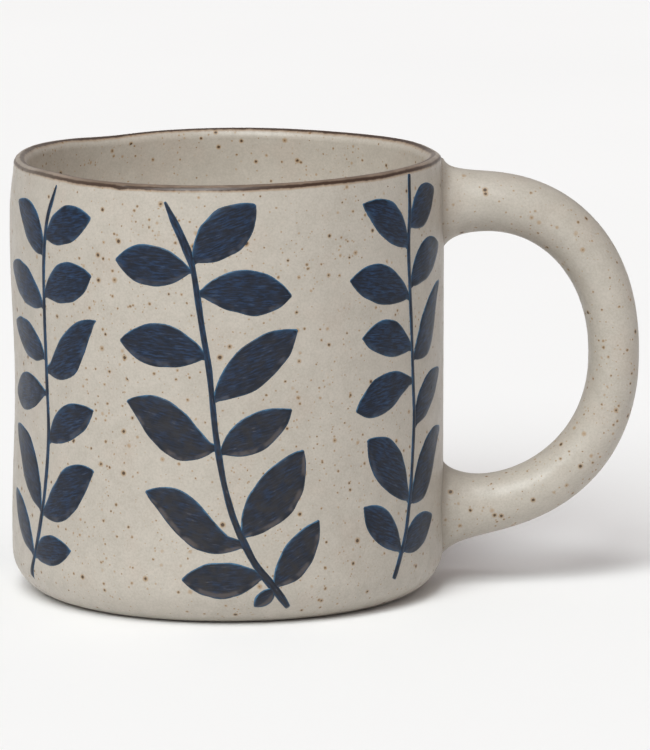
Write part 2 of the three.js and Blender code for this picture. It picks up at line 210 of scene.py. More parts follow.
class MugFinish(bpy.types.PropertyGroup):
    """The colours and the satin of the glazes"""

    glaze_light: colour("Glaze", "Colour of the glaze where it lies thick", (0.462, 0.421, 0.366))
    glaze_dark: colour("Thin glaze", "Colour of the glaze where it lies thin", (0.401, 0.364, 0.313))
    speck_core: colour("Speck", "Colour of an iron speck", (0.040, 0.020, 0.010))
    speck_halo: colour("Speck halo", "Colour round an iron speck", (0.30, 0.17, 0.055))
    iron_dark: colour("Iron", "Colour of the iron on the lip", (0.040, 0.019, 0.010))
    iron_crest: colour("Crest", "Colour of the iron where it has run off the crest", (0.22, 0.16, 0.118))
    iron_thin: colour("Thin iron", "Colour of the iron at its edges", (0.27, 0.15, 0.065))
    cobalt_dark: colour("Cobalt", "Colour of the cobalt where it lies thick", (0.006, 0.010, 0.020))
    cobalt_mid: colour("Brushed cobalt", "Colour of the cobalt between the hairs", (0.013, 0.036, 0.088))
    cobalt_light: colour("Thin cobalt", "Colour of the cobalt where the brush ran dry", (0.024, 0.064, 0.132))
    cobalt_edge: colour("Cobalt edge", "Colour of the cobalt round a leaf's edge", (0.055, 0.140, 0.235))
    charcoal: colour("Charcoal", "Colour where iron has bled into the cobalt", (0.029, 0.0275, 0.0285))
    bled: colour("Bled iron", "Colour of the pale brown left in the cobalt", (0.105, 0.085, 0.075))
    # Glaze pooled in the handle's joints, darkened further as painted shade in the crease.
    pooled_glaze_and_crease_shade: colour("Pooled glaze", "Colour of the glaze that has run into the joints", (0.20, 0.165, 0.13))
    clay: colour("Bare clay", "Colour of the clay under the cup", (0.33, 0.235, 0.155))
    satin: number("Satin", "Roughness of the glaze", 0.42)
    specks: number("Specks", "How many of the possible iron specks show", 1.0)


class MugStage(bpy.types.PropertyGroup):
    """The floor, the lights and the camera"""

    floor_colour: colour("Floor", "Colour of the floor", (0.95, 0.95, 0.95))
    sky: number("Surroundings", "Brightness of the white all round", 0.365)
    sky_colour: colour("Surroundings' tint", "Colour of the light from all round", (1.0, 0.92, 0.905))
    key: number("Key", "Strength of the broad light from the front left", 2.3)
    top: number("Top", "Strength of the light from high in front", 0.75)
    fill: FloatProperty(name="Fill", description="Power of the soft light that fills the cup, in watts",
                        default=0.018, min=0, precision=4, subtype="POWER", unit="POWER")
    key_colour: colour("Key's tint", "Colour of the large light", (0.95, 1.0, 1.0))
    distance: length("Distance", "From the camera to the cup", 1.2)
    elevation: FloatProperty(name="Elevation", description="Height of the camera's view over the horizon",
                             default=math.radians(9.6), subtype="ANGLE", unit="ROTATION")
    aim_right: length("Aim to the right", "How far right of the cup's axis the camera looks", 20.25 * MM)
    aim_up: length("Aim up", "The height that the camera looks at", 44.15 * MM)
    lens: FloatProperty(name="Lens", description="Focal length in millimetres on a 24 mm high frame",
                        default=185.6, min=1)


# ---- the cup's shape ----

def smoothstep(value, low, high):
    share = np.clip((value - low) / (high - low), 0, 1)
    return share * share * (3 - 2 * share)


def on_cup(angle, radius, height, sizes):
    """Points of the cup with its unevenness, from their angles and their nominal radii and heights."""
    waist = WAIST_DEPTH * np.cos(2 * math.pi * (height - WAIST_CREST) / WAIST_PERIOD)
    swing = waist * (1 - np.sin(angle)) + WALL_SHIFT * np.sin(angle)
    lean = LIP_LEAN * smoothstep(height, sizes.height - LIP_LEAN_DEPTH, sizes.height)
    out = radius + (swing - lean) * radius / sizes.radius
    up = height + rim_wave(angle) * smoothstep(height, RIM_WAVE_START, sizes.height)
    return np.stack([out * np.sin(angle), -out * np.cos(angle), up], axis=-1)


def round_axis(places):
    """The angles and the radii of points round the cup's axis."""
    return np.arctan2(places[:, 0], -places[:, 1]), np.hypot(places[:, 0], places[:, 1])


def outside_radius(height, sizes):
    """Nominal radius of the outside at a height: the wall's, or less where the heel rounds it."""
    drop = np.clip(sizes.heel - height, 0, sizes.heel)
    return sizes.radius - sizes.heel + np.sqrt(sizes.heel ** 2 - drop ** 2)


def arc(radius, height, rounding, start, end, steps):
    """Profile points of an arc, from one angle to another in degrees."""
    angles = np.radians(np.linspace(start, end, steps + 1))
    return [(radius + rounding * math.cos(a), height + rounding * math.sin(a)) for a in angles]


def line(start, end, steps):
    """Profile points between two points, without the first."""
    return [tuple(p) for p in np.linspace(start, end, steps + 1)[1:]]


def smooth_path(first, second, count, reach):
    """Even distances along a line through some points, and its two coordinates there with rounded corners."""
    run = np.concatenate([[0], np.cumsum(np.hypot(np.diff(first), np.diff(second)))])
    even = np.linspace(0, run[-1], count)
    soft = np.hanning(2 * reach + 1)
    rows = []
    for values in (first, second):
        padded = np.pad(np.interp(even, run, values), reach, mode="reflect", reflect_type="odd")
        rows.append(np.convolve(padded, soft / soft.sum(), mode="valid"))
    return even, *rows


def on_path(at, even, first, second):
    """The place and the unit direction of a path at some distances along it."""
    place = [np.interp(at, even, values) for values in (first, second)]
    slope = [np.interp(at, even, np.gradient(values, even)) for values in (first, second)]
    size = np.hypot(*slope)
    return *place, slope[0] / size, slope[1] / size


def over_lip(turn, lift, sizes):
    """Nominal radius and height on the lip, at degrees from its outside over its crest to its inside."""
    inside = turn > 90
    wide = np.where(inside, sizes.lip_wall - sizes.lip_outer, sizes.lip_outer)
    tall = np.where(inside, sizes.lip_inner, sizes.lip_outer)
    on_lip = np.radians(np.clip(turn, 0, 180))
    down_wall = np.abs(np.radians(turn) - on_lip) * sizes.lip_outer
    radius = sizes.radius - sizes.lip_outer + (wide + lift) * np.cos(on_lip)
    return radius, sizes.height - tall + (tall + lift) * np.sin(on_lip) - down_wall


# ---- making pieces ----

def select_only(*pieces):
    """Deselects everything, then selects these pieces and makes the first one active."""
    if bpy.context.mode != "OBJECT":
        bpy.ops.object.mode_set(mode="OBJECT")
    bpy.ops.object.select_all(action="DESELECT")
    for piece in pieces:
        piece.select_set(True)
    if pieces:
        bpy.context.view_layer.objects.active = pieces[0]


def points_of(piece):
    found = np.empty(len(piece.data.vertices) * 3)
    piece.data.vertices.foreach_get("co", found)
    return found.reshape(-1, 3)


def move_points(piece, places):
    piece.data.vertices.foreach_set("co", np.ascontiguousarray(places, np.float32).ravel())
    piece.data.update()


def write_values(piece, **named):
    """Keeps named numbers for each point, for the material to read."""
    for name, values in named.items():
        attribute = piece.data.attributes.new(name, "FLOAT", "POINT")
        attribute.data.foreach_set("value", np.ascontiguousarray(values, np.float32))


def extruded(name, vertices, rings):
    """A filled circle, extruded through rings of (radius, height), which leaves one closed mesh."""
    select_only()
    bpy.ops.mesh.primitive_circle_add(vertices=vertices, radius=rings[0][0], fill_type="NGON")
    piece = bpy.context.active_object
    piece.name = piece.data.name = name
    bpy.ops.object.mode_set(mode="EDIT")
    bpy.ops.mesh.select_all(action="SELECT")
    bpy.ops.transform.translate(value=(0, 0, rings[0][1]))
    for (radius, height), (next_radius, next_height) in zip(rings, rings[1:]):
        rise = next_height - height
        bpy.ops.mesh.extrude_region_move(TRANSFORM_OT_translate={"value": (0, 0, rise)})
        spread = next_radius / radius
        bpy.ops.transform.resize(value=(spread, spread, 1), center_override=(0, 0, next_height))
    bpy.ops.object.mode_set(mode="OBJECT")
    return piece


def face_outwards(piece):
    """Turns the faces of a closed piece outwards and shades it smooth."""
    select_only(piece)
    bpy.ops.object.mode_set(mode="EDIT")
    bpy.ops.mesh.select_all(action="SELECT")
    bpy.ops.mesh.normals_make_consistent(inside=False)
    bpy.ops.object.mode_set(mode="OBJECT")
    bpy.ops.object.shade_smooth()


def finish_piece(piece, material, slot, *nodes):
    """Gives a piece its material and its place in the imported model."""
    piece.data.materials.clear()
    piece.data.materials.append(material)
    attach(piece, "root")
    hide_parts(*nodes)


# ---- node trees ----

class Tree:
    """Short ways to add nodes to a material or a group and to link them."""

    def __init__(self, nodes_and_links):
        self.nodes = nodes_and_links.nodes
        self.links = nodes_and_links.links

    def put(self, kind, inputs=(), **settings):
        """Adds a node, sets its properties, and feeds its inputs with plain values or other sockets."""
        node = self.nodes.new(kind)
        for name, value in settings.items():
            setattr(node, name, value)
        for key, value in dict(inputs).items():
            if isinstance(value, bpy.types.NodeSocket):
                self.links.new(value, node.inputs[key])
            else:
                node.inputs[key].default_value = value
        return node

    def maths(self, operation, a, b=0.0, c=0.0):
        node = self.put("ShaderNodeMath", {0: a, 1: b, 2: c}, operation=operation)
        return node.outputs[0]

    def times(self, first, *others):
        for other in others:
            first = self.maths("MULTIPLY", first, other)
        return first

    def ramp(self, value, low, high, out_low=0.0, out_high=1.0):
        """Takes a value smoothly from one range to another."""
        inputs = {0: value, 1: low, 2: high, 3: out_low, 4: out_high}
        node = self.put("ShaderNodeMapRange", inputs, interpolation_type="SMOOTHSTEP")
        return node.outputs[0]

    def mix(self, share, first, second):
        colours = [c if isinstance(c, bpy.types.NodeSocket) else (*c[:3], 1) for c in (first, second)]
        inputs = {0: share, 6: colours[0], 7: colours[1]}
        return self.put("ShaderNodeMix", inputs, data_type="RGBA").outputs[2]

    def noise(self, place, scale, detail=2.0, roughness=0.5, output="Fac"):
        inputs = {"Vector": place, "Scale": scale, "Detail": detail, "Roughness": roughness}
        return self.put("ShaderNodeTexNoise", inputs).outputs[output]

    def value(self, name):
        """A number kept on the piece's points."""
        return self.put("ShaderNodeAttribute", attribute_name=name).outputs["Fac"]


def new_group(name, inputs, outputs):
    """An empty shader node group with these named sockets, and its input and output nodes."""
    group = bpy.data.node_groups.new(name, "ShaderNodeTree")
    for socket, kind, default in inputs:
        made = group.interface.new_socket(name=socket, in_out="INPUT", socket_type=kind)
        if default is not None:
            made.default_value = default
    for socket, kind in outputs:
        group.interface.new_socket(name=socket, in_out="OUTPUT", socket_type=kind)
    tree = Tree(group)
    return group, tree, tree.put("NodeGroupInput").outputs, tree.put("NodeGroupOutput").inputs


FLOAT, COLOUR, VECTOR = "NodeSocketFloat", "NodeSocketColor", "NodeSocketVector"
GREY = (0.5, 0.5, 0.5, 1)


def specks_group():
    """Round iron specks of uneven size, as a mask of their cores and one of the stain round them."""
    inputs = (("Place", VECTOR, None), ("Scale", FLOAT, 250.0), ("Size", FLOAT, 0.08), ("Chance", FLOAT, 1.0))
    found = bpy.data.node_groups.get("iron specks")
    if found:
        return found
    group, tree, given, result = new_group("iron specks", inputs, (("Core", FLOAT), ("Stain", FLOAT)))
    ragged = tree.noise(given["Place"], 2600.0, 1.0, output="Color")
    offset = tree.put("ShaderNodeVectorMath", {0: ragged, 1: GREY[:3]}, operation="SUBTRACT")
    small = tree.put("ShaderNodeVectorMath", {0: offset.outputs[0], "Scale": 0.00022}, operation="SCALE")
    place = tree.put("ShaderNodeVectorMath", {0: given["Place"], 1: small.outputs[0]}, operation="ADD")
    cells = tree.put("ShaderNodeTexVoronoi", {"Vector": place.outputs[0], "Scale": given["Scale"]})
    parts = tree.put("ShaderNodeSeparateColor", {0: cells.outputs["Color"]})
    shown = tree.maths("LESS_THAN", parts.outputs[0], given["Chance"])
    spread = tree.maths("MULTIPLY_ADD", tree.maths("POWER", parts.outputs[1], 1.6), 0.75, 0.25)
    size = tree.times(given["Size"], spread)
    near = cells.outputs["Distance"]
    core = tree.ramp(near, tree.times(size, 0.6), size, 1.0, 0.0)
    stain = tree.ramp(near, tree.times(size, 0.7), tree.times(size, 1.9), 1.0, 0.0)
    tree.links.new(tree.times(core, shown), result["Core"])
    tree.links.new(tree.times(stain, shown), result["Stain"])
    return group


def glaze_group():
    """The speckled glaze that all of the mug wears: its colour, its roughness and its fine relief."""
    found = bpy.data.node_groups.get("speckled glaze")
    if found:
        return found
    inputs = (
        ("Place", VECTOR, None), ("Light", COLOUR, GREY), ("Dark", COLOUR, GREY), ("Core", COLOUR, GREY),
        ("Halo", COLOUR, GREY), ("Satin", FLOAT, 0.45), ("Specks", FLOAT, 1.0),
    )
    outputs = (("Color", COLOUR), ("Roughness", FLOAT), ("Height", FLOAT))
    group, tree, given, result = new_group("speckled glaze", inputs, outputs)
    place = given["Place"]

    clouds = tree.noise(place, 38.0, 3.0, 0.55)
    mottle = tree.noise(place, 330.0, 4.0, 0.6)
    grain = tree.noise(place, 2300.0, 2.0, 0.6)
    cloudy = tree.ramp(clouds, 0.35, 0.68, 0.0, 0.45)
    shade = tree.maths("ADD", cloudy, tree.ramp(mottle, 0.36, 0.66, 0.0, 0.5))
    skin = tree.mix(shade, given["Light"], given["Dark"])
    warmth = tree.noise(place, 120.0, 2.0)
    skin = tree.mix(tree.ramp(warmth, 0.5, 0.72, 0.0, 0.25), skin, (0.43, 0.355, 0.295))
    skin = tree.mix(tree.ramp(grain, 0.32, 0.7, 0.0, 0.22), skin, (0.22, 0.20, 0.165))

    total_core = None
    crowd = tree.ramp(tree.noise(place, 55.0, 2.0), 0.34, 0.66, 0.5, 1.4)
    crowd = tree.times(crowd, given["Specks"])
    # Scale, size of a speck in cells, chance, strength of its core and strength of its stain.
    for scale, size, chance, core, stain in (
        (360.0, 0.17, 0.85, 0.92, 0.75), (600.0, 0.17, 0.75, 0.62, 0.75), (950.0, 0.17, 0.7, 0.25, 0.6),
    ):
        fed = {"Place": place, "Scale": scale, "Size": size, "Chance": tree.times(crowd, chance)}
        specks = tree.put("ShaderNodeGroup", fed, node_tree=specks_group())
        skin = tree.mix(tree.times(specks.outputs["Stain"], stain), skin, given["Halo"])
        cores = tree.times(specks.outputs["Core"], core)
        skin = tree.mix(cores, skin, given["Core"])
        total_core = cores if total_core is None else tree.maths("MAXIMUM", total_core, cores)

    tree.links.new(skin, result["Color"])
    smoothest = tree.maths("SUBTRACT", given["Satin"], 0.05)
    rough = tree.maths("MULTIPLY_ADD", tree.ramp(mottle, 0.3, 0.7), 0.10, smoothest)
    rough = tree.maths("MULTIPLY_ADD", total_core, 0.12, rough)
    tree.links.new(rough, result["Roughness"])
    peel = tree.noise(place, 700.0, 2.0, 0.5)
    relief = tree.maths("MULTIPLY_ADD", peel, 0.6, tree.times(grain, 0.16))
    relief = tree.maths("MULTIPLY_ADD", clouds, 1.6, relief)
    relief = tree.maths("MULTIPLY_ADD", total_core, -0.35, relief)
    tree.links.new(relief, result["Height"])
    return group


def start_material(name):
    """A new material with only its output and a Principled shader, and the ways to build on it."""
    material = bpy.data.materials.new(name)
    material.use_nodes = True
    tree = Tree(material.node_tree)
    tree.nodes.clear()
    shader = tree.put("ShaderNodeBsdfPrincipled")
    tree.put("ShaderNodeOutputMaterial", {"Surface": shader.outputs[0]})
    return material, tree, shader


def add_glaze(tree, finish, more_specks=1.0):
    """Puts the speckled glaze into a material, on the piece's own coordinates."""
    place = tree.put("ShaderNodeTexCoord").outputs["Object"]
    fed = {"Place": place, "Light": (*finish.glaze_light, 1), "Dark": (*finish.glaze_dark, 1),
           "Core": (*finish.speck_core, 1), "Halo": (*finish.speck_halo, 1), "Satin": finish.satin,
           "Specks": finish.specks * more_specks}
    glaze = tree.put("ShaderNodeGroup", fed, node_tree=glaze_group())
    return place, glaze.outputs


def feed_shader(tree, shader, skin, rough, height, depth):
    """Gives a shader its colour, its roughness and its fine relief."""
    bump = tree.put("ShaderNodeBump", {"Height": height, "Distance": depth, "Strength": 1.0})
    for name, value in (("Base Color", skin), ("Roughness", rough), ("Normal", bump.outputs[0])):
        tree.links.new(value, shader.inputs[name])


def glaze_material(name, finish, more_specks=1.0):
    """The glazed clay, bare where the cup stands."""
    material, tree, shader = start_material(name)
    place, glaze = add_glaze(tree, finish, more_specks)
    height = tree.put("ShaderNodeSeparateXYZ", {0: place}).outputs[2]
    edge = tree.noise(place, 150.0, 3.0)
    edge = tree.maths("MULTIPLY_ADD", edge, 0.0005, height)
    bare = tree.ramp(edge, 0.00033, 0.00048, 1.0, 0.0)
    dust = tree.noise(place, 900.0, 4.0, 0.7)
    clay = tree.mix(tree.ramp(dust, 0.3, 0.7), finish.clay, tuple(c * 0.7 for c in finish.clay))
    # The handle's joints darken: glaze pooled there, and painted shade in the crease between handle and wall.
    pooled_glaze_and_crease_shade = tree.times(tree.value("crease"), 0.6)
    skin = tree.mix(pooled_glaze_and_crease_shade, glaze["Color"], finish.pooled_glaze_and_crease_shade)
    rough = tree.maths("MULTIPLY_ADD", bare, 0.4, glaze["Roughness"])
    feed_shader(tree, shader, tree.mix(bare, skin, clay), rough, glaze["Height"], 0.05 * MM)
    return material


def iron_material(finish):
    """The lip: iron over the crest, thin and orange at its edges, on the same glaze as the wall."""
    material, tree, shader = start_material("iron lip")
    place, glaze = add_glaze(tree, finish)
    worn = tree.value("worn")
    wander = tree.maths("SUBTRACT", tree.noise(place, 90.0, 3.0), 0.5)
    ragged = tree.maths("SUBTRACT", tree.noise(place, 900.0, 2.0), 0.5)
    turn = tree.maths("MULTIPLY_ADD", wander, 26.0, tree.value("round_lip"))
    turn = tree.maths("MULTIPLY_ADD", ragged, 18.0, turn)
    thin = tree.times(tree.ramp(turn, -17.0, 4.0), tree.ramp(turn, 124.0, 144.0, 0.7, 0.0))
    thick = tree.times(tree.ramp(turn, 1.0, 18.0), tree.ramp(turn, 112.0, 132.0, 1.0, 0.0))
    # The iron is darkest in two lines round the lip: where they lie in degrees, and where they fade.
    lines = None
    for middle, solid, gone in ((24.0, 11.0, 30.0), (106.0, 9.0, 24.0)):
        away = tree.maths("ABSOLUTE", tree.maths("SUBTRACT", turn, middle))
        dark = tree.ramp(away, solid, gone, 1.0, 0.0)
        lines = dark if lines is None else tree.maths("MAXIMUM", lines, dark)
    patches = tree.ramp(tree.noise(place, 160.0, 3.0), 0.35, 0.65, 0.6, 1.0)
    crest = tree.mix(patches, finish.iron_dark, finish.iron_crest)
    skin = tree.mix(tree.times(thin, 0.8), glaze["Color"], finish.iron_thin)
    iron = tree.mix(lines, crest, finish.iron_dark)
    skin = tree.mix(thick, skin, iron)
    # On the lip's two sides the iron is mixed back towards the glaze: thinner iron, and painted sheen where
    # the lip is seen edge-on.
    thinned_and_sheen = tree.times(worn, tree.ramp(wander, -0.2, 0.15, 0.55, 0.9),
                         tree.ramp(lines, 0.0, 1.0, 1.0, 0.45))
    skin = tree.mix(thinned_and_sheen, skin, glaze["Color"])
    rough = tree.maths("MULTIPLY_ADD", thick, -0.06, glaze["Roughness"])
    feed_shader(tree, shader, skin, rough, glaze["Height"], 0.04 * MM)
    return material


def cobalt_material(finish):
    """Cobalt laid on with a brush: dark with lighter hair strokes, bluer round the edge, charcoal below."""
    material, tree, shader = start_material("brushed cobalt")
    shader.inputs["Specular IOR Level"].default_value = 0.2
    place, glaze = add_glaze(tree, finish)
    brush = tree.put("ShaderNodeUVMap", uv_map="brush").outputs[0]
    from_edge = tree.value("from_edge")
    upper = tree.value("upper_side")
    bleed = tree.value("bleed")

    strokes = tree.put("ShaderNodeMapping", {"Vector": brush, "Scale": (0.17, 1.0, 1.0)}).outputs[0]
    hairs = tree.noise(strokes, 26.0, 3.0, 0.6)
    swathes = tree.noise(strokes, 8.0, 2.0, 0.5)
    patches = tree.noise(brush, 2.6, 2.0)
    wander = tree.noise(brush, 8.0, 2.0)
    ragged = tree.noise(place, 1500.0, 2.0)

    # Inside the dark line that was drawn first, the brush has left bluer streaks.
    inside = tree.ramp(tree.maths("MULTIPLY_ADD", wander, 1.2, from_edge), 0.9, 2.2)
    blue = tree.times(inside, tree.ramp(hairs, 0.40, 0.62), tree.ramp(patches, 0.3, 0.62, 0.4, 1.0))
    skin = tree.mix(blue, finish.cobalt_dark, finish.cobalt_mid)
    bright = tree.times(inside, tree.ramp(hairs, 0.58, 0.72), tree.ramp(swathes, 0.42, 0.6, 0.0, 0.7))
    skin = tree.mix(bright, skin, finish.cobalt_light)
    # Towards its edge the coat is thin here and there, and shows bluer.
    washed = tree.times(tree.ramp(from_edge, 0.25, 1.7, 1.0, 0.0), tree.ramp(patches, 0.42, 0.62, 0.05, 0.8),
                        tree.ramp(hairs, 0.3, 0.6, 0.5, 1.0))
    skin = tree.mix(washed, skin, finish.cobalt_light)
    settled = tree.noise(brush, 4.2, 3.0, 0.6)
    soot = tree.times(bleed, tree.ramp(settled, 0.28, 0.7, 0.95, 0.4),
                      tree.ramp(from_edge, 0.3, 1.6, 0.55, 1.0))
    skin = tree.mix(soot, skin, finish.charcoal)

    # Where iron has bled in, it leaves pale brown streaks and a broken pale border on the lower side.
    streaks = tree.times(tree.ramp(hairs, 0.58, 0.70), tree.ramp(swathes, 0.5, 0.64))
    edge = tree.maths("MULTIPLY_ADD", tree.maths("SUBTRACT", wander, 0.5), 0.5, from_edge)
    border = tree.times(tree.ramp(edge, 0.2, 0.5), tree.ramp(edge, 0.95, 1.6, 1.0, 0.0),
                        tree.ramp(upper, -0.2, -0.6, 0.0, 1.0), tree.ramp(patches, 0.38, 0.58))
    pale = tree.times(tree.maths("MAXIMUM", streaks, border), tree.times(bleed, 0.62))
    skin = tree.mix(pale, skin, finish.bled)

    # The line drawn first shows round the edge.
    rim = tree.times(tree.ramp(edge, 0.14, 0.5, 1.0, 0.0), tree.ramp(upper, -0.6, 0.4, 0.3, 1.0),
                     tree.ramp(swathes, 0.36, 0.56, 0.35, 1.0))
    skin = tree.mix(rim, skin, finish.cobalt_edge)

    ragged_edge = tree.maths("MULTIPLY_ADD", tree.maths("SUBTRACT", ragged, 0.5), 0.22, from_edge)
    covered = tree.ramp(ragged_edge, 0.0, 0.14)
    rough = tree.maths("MULTIPLY_ADD", bright, 0.08, tree.maths("SUBTRACT", glaze["Roughness"], 0.03))
    relief = tree.maths("MULTIPLY_ADD", hairs, 0.5, glaze["Height"])
    feed_shader(tree, shader, tree.mix(covered, glaze["Color"], skin), rough, relief, 0.05 * MM)
    return material


# ---- the pieces ----

class MUG_OT_cup_body(bpy.types.Operator):
    """Extrude the cup up its outside, over its lip and down to its floor"""

    bl_idname = "mug.cup_body"
    bl_label = "Cup"

    def execute(self, context):
        sizes, finish = context.scene.mug_sizes, context.scene.mug_finish
        lip = list(zip(*over_lip(np.linspace(0, 180, 25), 0, sizes)))
        inside = sizes.radius - sizes.wall
        taper_end = sizes.height - sizes.lip_taper
        inner_heel_top = sizes.floor + sizes.inner_heel
        rings = arc(sizes.radius - sizes.heel, sizes.heel, sizes.heel, -90, 0, 14)
        rings += line((sizes.radius, sizes.heel), lip[0], 38)
        rings += lip[1:]
        rings += line(lip[-1], (inside, taper_end), 14)
        rings += line((inside, taper_end), (inside, inner_heel_top), 18)
        rings += arc(inside - sizes.inner_heel, inner_heel_top, sizes.inner_heel, 0, -90, 12)[1:]
        rings += line((inside - sizes.inner_heel, sizes.floor), (4 * MM, sizes.floor), 4)
        piece = extruded("cup", AROUND, rings)
        places = points_of(piece)
        angle, radius = round_axis(places)
        move_points(piece, on_cup(angle, radius, places[:, 2], sizes))
        face_outwards(piece)
        finish_piece(piece, glaze_material("speckled cup glaze", finish), "speckled_glaze", "cup_body")
        return {"FINISHED"}


class MUG_OT_lip_band(bpy.types.Operator):
    """Wrap the band of iron over the lip"""

    bl_idname = "mug.lip_band"
    bl_label = "Lip band"

    PROFILE = 80  # points round the band's section
    COVER = 64  # how many of them cover the lip
    FOOT = 24  # how far the band runs down the wall on both sides, in the degrees that its lip turns
    DIP = 0.015 * MM  # how far its feet run in under the glaze
    DEPTH = 0.5 * MM  # how far its underside lies in the wall
    THIN_IRON_AND_SHEEN = ((-86, 30), (88, 18))  # where the iron shows paler on the lip's two sides, as thinner iron and painted sheen where the lip is seen edge-on: the angle, and the degrees it spreads over
    DRIP_HEIGHT = 0.25 * MM
    DRIP = (-29, 1.4)  # where a drop of iron hangs on the lip, and the degrees it spreads over

    def execute(self, context):
        sizes, finish = context.scene.mug_sizes, context.scene.mug_finish
        major, minor = sizes.radius - sizes.lip_outer, sizes.lip_outer
        select_only()
        bpy.ops.mesh.primitive_torus_add(major_radius=major, minor_radius=minor, major_segments=AROUND,
                                         minor_segments=self.PROFILE)
        piece = context.active_object
        piece.name = piece.data.name = "lip_iron"
        places = points_of(piece)
        angle, radius = round_axis(places)
        # Most of the torus covers the lip, and the rest closes it underneath.
        turned = np.degrees(np.arctan2(places[:, 2], radius - major)) % 360
        part = np.round(turned / 360 * self.PROFILE) % self.PROFILE
        above = part <= self.COVER
        section = np.where(above, part / self.COVER, (self.PROFILE - part) / (self.PROFILE - self.COVER))
        section = -self.FOOT + section * (180 + 2 * self.FOOT)
        covered = smoothstep(section, -self.FOOT, -8) * (1 - smoothstep(section, 150, 180 + self.FOOT))
        lift = np.where(above, (sizes.band_coat + self.DIP) * covered - self.DIP, -self.DEPTH)
        place, spread = self.DRIP
        drip = np.exp(-(angle_from(angle, place) / spread) ** 2) * above
        lift += self.DRIP_HEIGHT * drip * smoothstep(section, -5, 30) * (1 - smoothstep(section, 50, 90))
        radius, height = over_lip(section, lift, sizes)
        move_points(piece, on_cup(angle, radius, height, sizes))
        # How much of the lip's two sides shows thinner iron and painted sheen.
        worn = sum(np.exp(-(angle_from(angle, place) / spread) ** 2) for place, spread in self.THIN_IRON_AND_SHEEN)
        write_values(piece, round_lip=section + 16 * drip, worn=worn)
        face_outwards(piece)
        finish_piece(piece, iron_material(finish), "iron_glaze", "lip_band")
        return {"FINISHED"}


